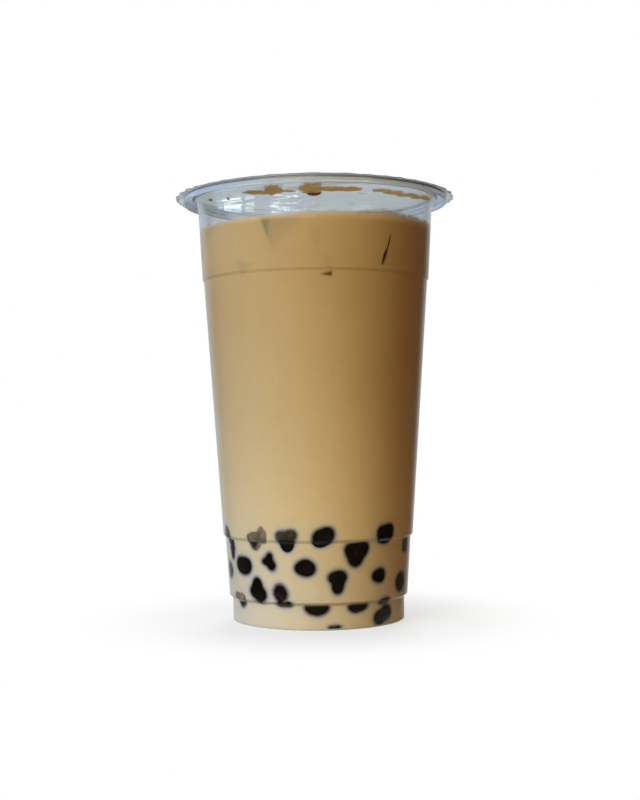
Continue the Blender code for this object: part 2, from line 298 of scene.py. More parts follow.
def fillet(corners, steps=6, support=0.25):
    """Rounds a path. At a corner P with legs towards A and B and the angle b between them, an arc of radius r
    touches both legs at r / tan(b / 2) from P, and its middle is r / sin(b / 2) along their bisector.
    A support point follows on each leg, so that the flat stays flat when it's shaded smooth."""
    corners = np.asarray(corners, float)
    path = [corners[0, :2]]
    for before, (x, y, radius), after in zip(corners, corners[1:], corners[2:]):
        here = np.array((x, y))
        back = before[:2] - here
        ahead = after[:2] - here
        reach = min(np.linalg.norm(back), np.linalg.norm(ahead)) / 2
        back /= np.linalg.norm(back)
        ahead /= np.linalg.norm(ahead)
        half = math.acos(np.clip(back @ ahead, -1, 1)) / 2
        if radius <= 0 or half > math.radians(89.9):
            path.append(here)
            continue
        touch = min(radius / math.tan(half), reach * 0.9)
        middle = here + (back + ahead) / np.linalg.norm(back + ahead) * touch / math.cos(half)
        first = here + back * touch - middle
        last = here + ahead * touch - middle
        start = math.atan2(first[1], first[0])
        sweep = (math.atan2(last[1], last[0]) - start + math.pi) % math.tau - math.pi
        turns = start + sweep * np.linspace(0, 1, steps + 1)
        arc = middle + np.linalg.norm(first) * np.stack([np.cos(turns), np.sin(turns)], axis=1)
        spare = min(support, reach - touch)
        path += [here + back * (touch + spare), *arc, here + ahead * (touch + spare)]
    path.append(corners[-1, :2])
    return np.array(path)


def spaced(path, step):
    """The path with points added so that no two neighbours are further apart than step. step can be a
    function of the (radius, height) points."""
    rows = [path[:1]]
    for low, high in zip(path, path[1:]):
        limit = step((low + high) / 2) if callable(step) else step
        parts = max(1, math.ceil(np.linalg.norm(high - low) / limit))
        rows.append(low + (high - low) * (np.arange(1, parts + 1) / parts)[:, None])
    return np.concatenate(rows)


def moved_in(corners, depth):
    """A path of (radius, height, corner radius) that runs upwards, moved towards the axis by depth. Each
    corner moves along the bisector of its legs' normals, by depth over the cosine of half their turn."""
    points = np.array([c[:2] for c in corners], float)
    along = np.diff(points, axis=0)
    along /= np.linalg.norm(along, axis=1)[:, None]
    normals = np.stack([-along[:, 1], along[:, 0]], axis=1)
    before = np.concatenate([normals[:1], normals])
    after = np.concatenate([normals, normals[-1:]])
    mitre = before + after
    mitre /= np.linalg.norm(mitre, axis=1)[:, None]
    moved = points + mitre * (depth / (mitre * after).sum(axis=1))[:, None]
    return [(r, z, c[2]) for (r, z), c in zip(moved, corners)]


def wall_radius(height, depth):
    """Radius in mm of the wall's face moved in by depth, at heights in mm, straight between its corners."""
    path = np.array([c[:2] for c in moved_in(OUTER_FACE[1:], depth)])
    return np.interp(height, path[:, 1], path[:, 0])


def round_turns(columns):
    """Equal steps round a circle, in radians."""
    return np.arange(columns) / columns * math.tau


def round_axis(radius, turn, height):
    """Points (r cos t, r sin t, h) about Z."""
    return np.stack(np.broadcast_arrays(radius * np.cos(turn), radius * np.sin(turn), height), -1)


def blob_angles(rows, columns):
    """The angles of a ball's points without its poles: polar ones down a column and turns along a row."""
    return (np.arange(1, rows + 1) / (rows + 1))[:, None] * math.pi, round_turns(columns)


def turned(profile, columns):
    """Turns a (radius, height) profile about Z. Point (i, j) is (r cos t, r sin t, h) with t = 2 pi j /
    columns. The profile's first and last points lie on the axis and are its poles."""
    rings = round_axis(profile[1:-1, :1], round_turns(columns), profile[1:-1, 1:])
    return rings, np.array([(0, 0, profile[0, 1]), (0, 0, profile[-1, 1])], float)


def inside_out(points, quads, *fans):
    """Whether closed shapes have a negative signed volume, the sum of their triangles' determinants. Each
    four-sided face counts as two triangles."""
    triangles = np.concatenate([quads[:, :3], quads[:, [0, 2, 3]], *fans])
    return np.linalg.det(points[triangles]).sum() < 0


def closed_mesh(name, rings, poles):
    """Makes one mesh of closed shapes. rings is (shapes, rows, columns, 3) in mm and poles (shapes, 2, 3).
    Each shape has a fan of triangles at either pole and four-sided faces between its rows."""
    if rings.ndim == 3:
        rings, poles = rings[None], poles[None]
    shapes, rows, columns, _ = rings.shape
    each = rows * columns + 2
    points = np.concatenate([poles[:, :1], rings.reshape(shapes, -1, 3), poles[:, 1:]], axis=1).reshape(-1, 3)
    here = np.arange(columns)
    after = (here + 1) % columns
    start = 1 + np.arange(rows - 1)[:, None] * columns
    quads = np.stack([start + here, start + columns + here, start + columns + after, start + after], -1)
    last_row = 1 + (rows - 1) * columns
    first_fan = np.stack([0 * here, 1 + here, 1 + after], -1)
    last_fan = np.stack([last_row + after, last_row + here, 0 * here + each - 1], -1)
    offsets = (np.arange(shapes) * each)[:, None, None]
    quads = (quads.reshape(1, -1, 4) + offsets).reshape(-1, 4)
    fans = (np.concatenate([first_fan, last_fan])[None] + offsets).reshape(-1, 3)
    if inside_out(points, quads, fans):
        quads, fans = quads[:, ::-1], fans[:, ::-1]
    mesh = bpy.data.meshes.new(name)
    mesh.vertices.add(len(points))
    mesh.vertices.foreach_set("co", (points * MM).astype(np.float32).ravel())
    mesh.loops.add(quads.size + fans.size)
    corners = np.concatenate([fans.ravel(), quads.ravel()])
    mesh.loops.foreach_set("vertex_index", corners.astype(np.int32))
    mesh.polygons.add(len(quads) + len(fans))
    starts = np.concatenate([np.arange(len(fans)) * 3, fans.size + np.arange(len(quads)) * 4])
    mesh.polygons.foreach_set("loop_start", starts.astype(np.int32))
    mesh.update(calc_edges=True)
    mesh.validate()
    mesh.shade_smooth()
    return mesh


def ring_mesh(name, sections):
    """One closed mesh of sections (turns, points, 3) in mm, joined to their neighbours all the way round."""
    turns, points, _ = sections.shape
    grid = np.arange(turns * points).reshape(turns, points)
    across = np.roll(grid, -1, axis=1)
    corners = [grid, across, np.roll(across, -1, axis=0), np.roll(grid, -1, axis=0)]
    faces = np.stack(corners, -1).reshape(-1, 4)
    places = sections.reshape(-1, 3)
    if inside_out(places, faces):
        faces = faces[:, ::-1]
    mesh = bpy.data.meshes.new(name)
    mesh.from_pydata((places * MM).tolist(), [], faces.tolist())
    mesh.shade_smooth()
    return mesh


def per_point(mesh, name, rings, poles=None):
    """Stores one number for each point of a mesh, in closed_mesh's order where it has poles."""
    if poles is not None:
        rings = np.concatenate([poles[:, :1], rings.reshape(len(poles), -1), poles[:, 1:]], axis=1)
    attribute = mesh.attributes.new(name, "FLOAT", "POINT")
    attribute.data.foreach_set("value", rings.astype(np.float32).ravel())


def add_piece(name, mesh, material, slot, *nodes):
    """Links a finished piece, gives it its material, parents it to the root body and hides the parts of
    model.glb that it replaces.
    """
    piece = bpy.data.objects.new(name, mesh)
    bpy.context.scene.collection.objects.link(piece)
    mesh.materials.append(material)
    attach(piece, "root")
    if nodes:
        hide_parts(*nodes)


def harmonics(turns, seed, lowest, highest):
    """A smooth uneven value round a circle: a sum of cosines of whole waves, each with its own seeded size
    and phase, scaled so that its mean square is about 1."""
    draw = np.random.default_rng(seed)
    waves = np.arange(lowest, highest + 1)[:, None]
    size = draw.normal(size=waves.shape) / np.sqrt(len(waves) / 2)
    phase = draw.uniform(0, math.tau, waves.shape)
    return (size * np.cos(waves * turns + phase)).sum(axis=0)


# Materials

class Nodes:
    """A node tree under construction, with short ways to add and join its nodes."""

    def __init__(self, tree):
        self.tree = tree

    def add(self, kind, inputs=None, **settings):
        made = self.tree.nodes.new(kind)
        for key, value in settings.items():
            setattr(made, key, value)
        for key, value in (inputs or {}).items():
            self.feed(made.inputs[key], value)
        return made

    def feed(self, socket, value):
        if isinstance(value, bpy.types.NodeSocket):
            self.tree.links.new(value, socket)
        else:
            socket.default_value = (*value, 1) if socket.type == "RGBA" else value

    def maths(self, operation, *values):
        return self.add("ShaderNodeMath", dict(enumerate(values)), operation=operation).outputs[0]

    def vectors(self, operation, *values, result="Vector"):
        made = self.add("ShaderNodeVectorMath", dict(enumerate(values)), operation=operation)
        return made.outputs[result]

    def ranged(self, value, low, high, to_low=0.0, to_high=1.0):
        inputs = {"Value": value, "From Min": low, "From Max": high, "To Min": to_low, "To Max": to_high}
        return self.add("ShaderNodeMapRange", inputs, interpolation_type="SMOOTHSTEP").outputs["Result"]

    def mixed(self, share, first, second, blend="MIX"):
        made = self.add("ShaderNodeMix", data_type="RGBA", blend_type=blend)
        for key, value in (("Factor", share), (6, first), (7, second)):
            self.feed(made.inputs[key], value)
        return made.outputs[2]


class Finish(Nodes):
    """A material under construction, round its Principled shader."""

    def __init__(self, name):
        self.material = bpy.data.materials.new(name)
        self.material.use_nodes = True
        super().__init__(self.material.node_tree)
        self.shader = self.tree.nodes["Principled BSDF"]

    def set(self, **values):
        for key, value in values.items():
            self.feed(self.shader.inputs[key.replace("_", " ")], value)

    def coordinates(self, scale=(1, 1, 1)):
        place = self.add("ShaderNodeTexCoord").outputs["Object"]
        return self.add("ShaderNodeMapping", {"Vector": place, "Scale": scale}).outputs["Vector"]

    def along(self, axis):
        return self.add("ShaderNodeSeparateXYZ", {0: self.coordinates()}).outputs[axis]

    def from_axis(self):
        return self.vectors("LENGTH", self.coordinates((1, 1, 0)), result="Value")

    def noise(self, scale, detail, stretch=(1, 1, 1)):
        inputs = {"Vector": self.coordinates(stretch), "Scale": scale, "Detail": detail}
        return self.add("ShaderNodeTexNoise", inputs).outputs["Fac"]

    def patches(self, scale, detail, low, high, to_low=0.0, to_high=1.0, stretch=(1, 1, 1)):
        return self.ranged(self.noise(scale, detail, stretch), low, high, to_low, to_high)

    def ramp(self, value, *stops):
        """A colour ramp with (position, colour) stops in order."""
        made = self.add("ShaderNodeValToRGB", {"Fac": value})
        elements = made.color_ramp.elements
        elements[0].position = stops[0][0]
        elements[1].position = stops[-1][0]
        for position, _ in stops[1:-1]:
            elements.new(position)
        for element, (_, colour) in zip(elements, stops):
            element.color = (*colour, 1)
        return made.outputs["Color"]

    def bump(self, height, strength, distance):
        inputs = {"Height": height, "Strength": strength, "Distance": distance}
        return self.add("ShaderNodeBump", inputs).outputs["Normal"]

    def attribute(self, name):
        return self.add("ShaderNodeAttribute", attribute_name=name).outputs["Fac"]

    def shows(self, share, first, second):
        """What the surface shows: a mix of two shaders."""
        both = self.add("ShaderNodeMixShader", {0: share, 1: first, 2: second})
        self.tree.links.new(both.outputs[0], self.tree.nodes["Material Output"].inputs["Surface"])

    def lets_light_through(self, tint):
        """Light goes straight through to what's inside: a shadow ray meets a clear surface, not glass."""
        clear = self.add("ShaderNodeBsdfTransparent", {"Color": tint}).outputs[0]
        self.shows(self.add("ShaderNodeLightPath").outputs["Is Shadow Ray"], self.shader.outputs[0], clear)


def plastic_finish(tint, level):
    """Clear moulded plastic, hazier in the thick lip and foot, in faint flow marks that run up the wall and
    in the mist just above the drink's level."""
    finish = Finish("clear_moulded_plastic")
    marks = finish.noise(220, 3, (1, 1, 0.12))
    height = finish.along("Z")
    away = finish.from_axis()
    clear = finish.maths(
        "MULTIPLY", finish.ranged(away, *LIP_HAZE, 1.0, HAZY), finish.ranged(height, *FOOT_HAZE, 0.55, 1.0))
    mist = finish.maths(
        "MULTIPLY", finish.ranged(height, level - 3.0 * MM, level - 0.8 * MM),
        finish.ranged(height, level - 0.4 * MM, level + 5.0 * MM, 1.0, 0.0))
    mist = finish.maths("MULTIPLY", mist, finish.patches(160, 4, 0.3, 0.7, 0.03, 0.12))
    finish.set(
        Base_Color=finish.mixed(finish.ranged(away, *LIP_HAZE), tint, LIP_TINT),
        Transmission_Weight=finish.maths("SUBTRACT", clear, mist), IOR=1.49,
        Roughness=finish.ranged(marks, 0.4, 0.75, 0.0, 0.05), Normal=finish.bump(marks, 0.12, 0.04 * MM))
    finish.lets_light_through((0.96, 0.97, 0.98))
    return finish.material


def film_finish(tint):
    """Clear sealing film, slightly rumpled, and hazy where it's welded to the lip."""
    finish = Finish("clear_sealing_film")
    rumple = finish.noise(130, 3, (1, 1, 0.2))
    finish.set(
        Base_Color=tint, Transmission_Weight=finish.ranged(finish.from_axis(), *WELD_HAZE, 0.99, HAZY),
        IOR=1.5, Roughness=finish.ranged(rumple, 0.35, 0.8, 0.0, 0.03),
        Normal=finish.bump(rumple, 0.06, 0.2 * MM))
    finish.lets_light_through((0.95, 0.965, 0.97))
    return finish.material


def tea_finish(tea):
    """Milk tea: caramel above and creamier lower down, palest near the floor, which is partly the tea's own
    colour and partly painted light bounced up from the floor, in slow clouds, and paler with foam just below
    its level, most on the right. Where a face of ice lies at the wall, painted shade darkens the tea, faint
    ones grey-blue and strong ones brown. The thin milk round a pearl is greyer, and a pearl that doesn't
    quite touch the wall shows as a brown-grey patch."""
    finish = Finish("milk_tea")
    height = finish.along("Z")
    # Caramel above, creamier lower down and palest near the floor: partly the tea's own colour, partly
    # painted light bounced up from the floor
    body = finish.mixed(finish.ranged(height, 0.0, 0.115, 1.0, 0.0), tea.upper, tea.lower)
    body = finish.mixed(finish.patches(34, 3, 0.3, 0.7, 0.0, 0.12, (1, 1, 0.6)), body, tea.lower)
    body = finish.mixed(finish.ranged(height, 0.002, 0.046, 0.8, 0.0), body, (0.645, 0.57, 0.40))
    foamy = finish.maths(
        "MULTIPLY", finish.ranged(height, tea.level - 3.2 * MM, tea.level - 0.4 * MM),
        finish.ranged(finish.along("X"), 0.004, 0.032, 0.25, 0.65))
    body = finish.mixed(foamy, body, (0.80, 0.60, 0.32))
    # Painted shade where ice lies at the wall: faint faces cool grey-blue, strong ones brown, multiplied into
    # the tea
    ice = finish.attribute("ice")
    ice_shade_colour = finish.mixed(finish.ranged(ice, 0.55, 1.0), (0.26, 0.40, 0.60), (0.31, 0.20, 0.07))
    body = finish.mixed(ice, body, ice_shade_colour, "MULTIPLY")
    halo = finish.attribute("halo")
    milk = finish.ramp(
        halo, (0.0, (0.030, 0.028, 0.023)), (0.18, (0.14, 0.14, 0.125)), (0.36, (0.31, 0.33, 0.315)),
        (0.54, tea.halo))
    body = finish.mixed(finish.ranged(halo, 0.20, 1.0, 1.0, 0.0), body, milk)
    gap = finish.maths("ADD", finish.attribute("pearl_gap"), finish.patches(500, 3, 0.3, 0.7, -0.07, 0.07))
    veiled = finish.ramp(
        gap, (0.08, (0.005, 0.004, 0.0035)), (0.45, (0.115, 0.086, 0.052)), (0.8, (0.28, 0.20, 0.11)))
    body = finish.mixed(finish.ranged(gap, 0.5, 1.0), veiled, body)
    finish.set(Base_Color=body, Roughness=0.5, Specular_IOR_Level=0.0)
    return finish.material


def pearl_finish(colour):
    """Dark tapioca gel with a faintly browner mottle."""
    finish = Finish("tapioca_gel")
    mottled = finish.mixed(finish.patches(420, 3, 0.5, 0.85), colour, (0.010, 0.008, 0.006))
    finish.set(Base_Color=mottled, Roughness=0.4, Specular_IOR_Level=0.0)
    return finish.material


def ice_edge_shade_finish():
    """The edge of an ice cube through the tea, drawn as a dark line of painted shade."""
    finish = Finish("ice_edge_painted_shade")
    # Painted shade: mottled dark browns where the clear ice meets the wall
    mottled_shade = finish.mixed(finish.patches(400, 3, 0.35, 0.75), (0.030, 0.022, 0.014), (0.16, 0.105, 0.045))
    finish.set(Base_Color=mottled_shade, Roughness=0.4, Specular_IOR_Level=0.0)
    return finish.material


def foam_finish():
    """Milky foam that thins out up the wall."""
    finish = Finish("milk_foam")
    cover = finish.maths("MULTIPLY", finish.patches(700, 3, 0.3, 0.6, 0.7, 1.0), finish.attribute("body"))
    finish.set(Base_Color=(0.60, 0.50, 0.33), Roughness=0.5, Specular_IOR_Level=0.1, Alpha=cover)
    return finish.material


def splash_finish():
    """Tea dried thin on the film, darker where it hangs in a drop. Its edge thins out unevenly, and light
    from above comes through it."""
    finish = Finish("splashed_tea")
    thick = finish.attribute("thick")
    pale = finish.mixed(finish.patches(600, 3, 0.35, 0.65), (0.92, 0.68, 0.28), (0.96, 0.80, 0.46))
    inwards = finish.maths("ADD", finish.attribute("inwards"), finish.patches(900, 4, 0.3, 0.7, -0.12, 0.12))
    finish.set(
        Base_Color=finish.mixed(thick, pale, (0.13, 0.050, 0.016)), Roughness=0.9, Specular_IOR_Level=0.1,
        IOR=1.33, Alpha=finish.ranged(inwards, -0.02, 0.26, 0.0, 0.92),
        Transmission_Weight=finish.ranged(thick, 0.0, 1.0, 0.55, 0.1))
    finish.lets_light_through((1.0, 0.97, 0.90))
    return finish.material


def bubble_finish():
    """The thin skin of a bubble, which shows most where it's seen edge on."""
    finish = Finish("bubble_skin")
    edge = finish.add("ShaderNodeLayerWeight", {"Blend": 0.35}).outputs["Facing"]
    cover = finish.maths(
        "MULTIPLY", finish.ranged(edge, 0.1, 0.9, 0.02, 0.34), finish.patches(600, 2, 0.3, 0.7, 0.9, 1.0))
    finish.set(Base_Color=(0.60, 0.55, 0.45), Roughness=0.15, Alpha=cover)
    return finish.material


# Shapes

def cup_profile(cup):
    """The cup's closed section in mm: from the floor's underside up the outer face, round the lip, down the
    inner face and in across the floor. The neck widens with the square of its height's share, and the lip
    ends in a half-round bead."""
    wall, roll = mm(cup.wall), mm(cup.roll)
    outer, top = mm(cup.lip_diameter) / 2, mm(cup.lip_top)
    bottom = top - mm(cup.lip_depth)
    underside = [(0, FLOOR_UNDERSIDE, 0), (OUTER_FACE[0][0] - 0.7, FLOOR_UNDERSIDE, 0.3)]
    share = np.linspace(0, 1, 9)[1:]
    foot_of_neck = OUTER_FACE[-1]
    neck = np.stack([
        foot_of_neck[0] + (NECK_RADIUS - foot_of_neck[0]) * share ** 2,
        foot_of_neck[1] + (top - wall - foot_of_neck[1]) * share, 0 * share], axis=1)
    neck[-1, 2] = 0.3
    lip = [
        (outer - roll, top - wall, 0.25), (outer - roll, bottom, roll * 0.49), (outer, bottom, roll * 0.49),
        (outer, top, 0.45), (NECK_RADIUS, top, 0.5),
    ]
    inside = [tuple(p) for p in moved_in([foot_of_neck, *map(tuple, neck)], wall)][1:-1]
    inside.append((NECK_RADIUS - wall, top - wall, 0))
    inner_wall = moved_in(WALL_CORNERS, wall)
    corner = OUTER_FACE[1][2]
    floor = [
        (inner_wall[0][0], CHANNEL_HEIGHT, corner), (OUTER_FACE[0][0] + 1.0, CHANNEL_HEIGHT, 0.3),
        (OUTER_FACE[0][0], FLOOR_TOP, 0.3), (0, FLOOR_TOP, 0),
    ]
    corners = [*underside, *OUTER_FACE, *neck, *lip, *inside[::-1], *inner_wall[::-1], *floor]
    return spaced(fillet(corners), 3.0)


def make_cup(cup, tea):
    """The cup's closed section, turned about its axis."""
    mesh = closed_mesh("clear_cup", *turned(cup_profile(cup), CUP_COLUMNS))
    add_piece("clear_cup", mesh, plastic_finish(cup.tint, tea.level), "clear_plastic", "cup")


def film_rise(radius, turn):
    """How far the film's underside stands above its seal, in mm: two cosines of the distance from the axis,
    whose phase drifts round the film, in a dome that dies out with the square of the distance."""
    share = np.clip(radius / NECK_RADIUS, 0, 1)
    slow = harmonics(np.ravel(turn), 9, 1, 5).reshape(np.shape(turn)) * share
    quick = harmonics(np.ravel(turn), 10, 2, 9).reshape(np.shape(turn)) * share
    rumple = 0.09 * np.cos(radius * 0.21 + 2.2 * slow) + 0.05 * np.cos(radius * 0.55 + 2.6 * quick)
    return (1 - share ** 2) * (0.25 + rumple)


def film_seat(cup):
    """The height in mm where the film meets the lip."""
    return mm(cup.lip_top) - 0.05


def make_film(film, cup):
    """The film as two skins that meet at the cut edge. Height is the lip's top, plus a low rumple that dies
    out on the lip, minus a droop that grows with the square of the way past the lip. The edge's radius and
    height follow crinkles, strongest at the sides: a sine of the whole number of waves, uneven in size."""
    turn = round_turns(FILM_COLUMNS)
    lip = mm(cup.lip_diameter) / 2
    sealed = lip - 0.5
    skins = (film_seat(cup) + mm(film.thickness), film_seat(cup))
    at_side = 0.2 + 0.8 * np.abs(np.cos(turn)) ** 1.5
    uneven = (0.65 + 0.35 * harmonics(turn, 5, 3, 17)) * at_side
    phase = turn * film.waves + 0.9 * harmonics(turn, 6, 2, 9)
    edge = mm(film.radius) + mm(film.wave) * np.cos(phase) * uneven
    neck = NECK_RADIUS / lip
    share = np.concatenate([np.linspace(0.03, 1, 34) * neck, np.linspace(neck, 1, 6)[1:]])
    past = np.linspace(0, 1, 9)[1:, None]
    radius = np.concatenate([share[:, None] * sealed + 0 * turn, sealed + past * (edge - sealed)])
    flap = 0.42 * np.sin(phase + 0.7) * uneven + 0.16 * harmonics(turn, 8, 20, 60) * at_side
    height = film_rise(radius, turn + 0 * radius)
    height[len(share):] -= past ** 2 * (mm(film.droop) * at_side - 0.5 * flap)
    top, under = (round_axis(radius, turn, skin + height) for skin in skins)
    middle = float(film_rise(np.zeros(1), np.zeros(1))[0])
    poles = np.array([(0, 0, skin + middle) for skin in skins])
    mesh = closed_mesh("sealing_film", np.concatenate([top, under[::-1]]), poles)
    add_piece("sealing_film", mesh, film_finish(film.tint), "clear_film", "seal_film")


def pearl_table(pearls):
    """One row for each pearl at the wall: turn (radians, 0 towards +X), height, tea over it and eight sizes.
    Those that show are listed, and the rest follow rows with seeded unevenness."""
    draw = np.random.default_rng(pearls.seed)
    rows = [(math.radians(row[0] - 90), *row[1:]) for row in SHOWN_PEARLS]
    for k, (height, step) in enumerate(FAR_ROWS):
        turns = np.arange(FAR_FROM + step * 0.5 * (k % 2), FAR_TO, step)
        for turn in turns + draw.uniform(-0.12, 0.12, len(turns)) * step:
            sizes = draw.uniform(2.5, 3.7) * (1 + 0.12 * draw.normal(size=8))
            over = max(0.0, draw.uniform(-0.6, 0.6))
            rows.append((math.radians(turn - 90), height + draw.uniform(-1.2, 1.2), over, *sizes))
    return np.array(rows)


def outline(sizes, directions):
    """How far a patch reaches in each direction: the smooth curve through its eight sizes, which is the sum
    of the five cosine waves of their Fourier series."""
    waves = np.fft.rfft(sizes, axis=-1) / 8 * np.array((1, 2, 2, 2, 1))
    angle = directions[..., None] * np.arange(5)
    return (waves.real[..., None, :] * np.cos(angle) - waves.imag[..., None, :] * np.sin(angle)).sum(axis=-1)


def make_pearls(pearls, tea, cup):
    """Each pearl is a flattened blob against the wall. Over the polar angle p from the wall's normal and the
    direction q round it, its reach is its outline's times sin p over the sine of the contact angle, and its
    depth below the wall is the tea over it plus the radius times the cosine of that angle less cos p, where
    that is more than nothing."""
    table = pearl_table(pearls)
    polar, turns = blob_angles(*PEARL_GRID)
    reach = outline(table[:, 3:], turns)[:, None]
    body = mm(pearls.radius)
    contact = np.arcsin(np.clip(reach.mean(axis=-1, keepdims=True) / body, 0.25, 0.93))
    scale = np.sin(polar) / np.sin(contact)
    across, up = scale * reach * np.cos(turns), scale * reach * np.sin(turns)
    over = np.maximum(table[:, 2, None, None], 0)
    depth = np.maximum(body * (np.cos(contact) - np.cos(polar)), 0) + over + 0 * across
    rings = on_wall(table, across, up, depth, np.where(over > SUNK, over, 0), tea, cup)
    deepest = np.concatenate([over, body * (np.cos(contact) + 1) + over], axis=1)
    poles = on_wall(table, 0 * deepest, 0 * deepest, deepest, 0, tea, cup)[:, :, 0]
    floor_rings, floor_poles = floor_pearls(pearls, tea)
    rings, poles = np.concatenate([rings, floor_rings]), np.concatenate([poles, floor_poles])
    mesh = closed_mesh("tapioca_pearls", rings, poles)
    add_piece("tapioca_pearls", mesh, pearl_finish(pearls.colour), "tapioca", "pearl_bed")


def slope_at(height):
    """How much the wall widens with height: not at all in the foot, and evenly in the cones above it."""
    return np.where(height < OUTER_FACE[2][1], 0.0, WALL_SLOPE)


def on_wall(table, across, up, depth, least, tea, cup):
    """Points at a way across, up and behind the wall's inner face, from each patch's place: the radius is
    that of the wall at its own place, carried on along the slope, less the depth, but at least so deep at
    the point. A pressed patch has the wall's radius at the point in place of that."""
    reach = mm(tea.reach) + PROUD
    base = table[:, 1, None, None]
    height = np.maximum(base + up, CHANNEL_HEIGHT - reach)
    own = wall_radius(base + 0 * up, mm(cup.wall)) + slope_at(base) * (height - base)
    own = np.where(table[:, 2, None, None] < 0, wall_radius(height, mm(cup.wall)), own) + reach - depth
    limit = wall_radius(height, mm(cup.wall)) + reach - least
    radius = np.minimum(own, limit)
    turn = table[:, 0, None, None] + across / wall_radius(base + 0 * up, mm(cup.wall))
    return np.stack([radius * np.cos(turn), radius * np.sin(turn), height], -1)


def floor_pearls(pearls, tea):
    """Pearls that lie on the floor in rings: balls of uneven width whose underside is pressed flat."""
    draw = np.random.default_rng(pearls.seed + 1)
    polar, turns = blob_angles(*PEARL_GRID)
    lowest = FLOOR_TOP - mm(tea.reach) - PROUD
    rings, poles = [], []
    for ring, (distance, number) in enumerate(FLOOR_RINGS):
        for k in range(number):
            turn = (k + 0.5 * (ring % 2) + draw.uniform(-0.15, 0.15)) / number * math.tau
            x = (distance + draw.uniform(-0.8, 0.8)) * math.cos(turn)
            y = (distance + draw.uniform(-0.8, 0.8)) * math.sin(turn)
            size = mm(pearls.radius) * draw.uniform(0.72, 0.92)
            uneven = 1 + 0.06 * harmonics(turns, int(draw.integers(1 << 30)), 2, 5)
            height = np.maximum(lowest + size * 0.75 + size * np.cos(polar), lowest)
            rings.append(round_axis(size * np.sin(polar) * uneven, turns, height) + (x, y, 0))
            poles.append([(x, y, lowest + size * 1.75), (x, y, lowest)])
    return np.array(rings), np.array(poles)


def patch_marks(points, table, spread, cup):
    """For each point of the wall, two shares from 0 at the nearest patch to 1: the tea over the patch, in
    mm, which also grows by 1 mm over VEIL_WIDTH past its outline, and the distance past its outline over
    spread, which also grows with the tea that a ledge puts over it and with how deep the patch lies."""
    turn = np.arctan2(points[:, 1], points[:, 0])
    height = points[:, 2]
    wall = wall_radius(height, mm(cup.wall))
    at_wall = np.hypot(points[:, 0], points[:, 1]) > wall - 1.5
    gap, halo = np.ones(len(points)), np.ones(len(points))
    for place, base, over, *sizes in table:
        own = wall_radius(base, mm(cup.wall))
        across = ((turn - place + np.pi) % math.tau - np.pi) * own
        up = height - base
        near = np.flatnonzero(at_wall & (np.hypot(across, up) < max(sizes) + 2 * spread))
        past = np.hypot(across[near], up[near])
        past = np.maximum(past - outline(np.array(sizes), np.arctan2(up[near], across[near])), 0)
        behind = max(over, 0) + (wall[near] - own - slope_at(base) * up[near]) * (0 <= over < SUNK)
        gap[near] = np.minimum(gap[near], np.maximum(behind, 0) + past / VEIL_WIDTH)
        step = 3 * np.maximum(behind - max(over, 0) - 0.1, 0)
        halo[near] = np.minimum(halo[near], (past + step) / spread + 1.6 * max(over - 0.2, 0))
    return np.clip(gap, 0, 1), np.clip(halo, 0, 1)


def ice_shade_marks(points, cup):
    """How much painted shade the faces of ice put on the tea at each point of the wall: for each face, its
    strength times the product over its sides of an eased share of the distance inside the side, where the
    strongest face counts."""
    turn = np.arctan2(points[:, 1], points[:, 0])
    dark = np.zeros(len(points))
    for corners, strength, softness in ICE_SHADE_FACES:
        places = np.array(corners)
        middle = math.radians(places[:, 0].mean() - 90)
        radius = wall_radius(places[:, 1].mean(), mm(cup.wall))
        across = ((turn - middle + np.pi) % math.tau - np.pi) * radius
        here = np.stack([across, points[:, 2]], -1)
        places = np.stack([np.radians(places[:, 0] - places[:, 0].mean()) * radius, places[:, 1]], -1)
        face = np.full(len(points), strength)
        for start, end, soft in zip(places, np.roll(places, -1, axis=0), softness):
            side = (end - start) / np.linalg.norm(end - start)
            inside = (here - start) @ np.array((side[1], -side[0]))
            share = np.clip(inside / soft + 0.5, 0, 1)
            face *= share * share * (3 - 2 * share)
        dark = np.where(face > dark, face + dark * 0.5, dark + face * 0.5)
    return np.clip(dark, 0, 1)


def edge_fall(turn):
    """How far the drink's edge lies below its level, in mm, straight between the places that are listed."""
    from_front = (np.degrees(turn) + 180) % 360 - 90
    return np.interp(from_front, *np.array(EDGE_FALL, float).T)


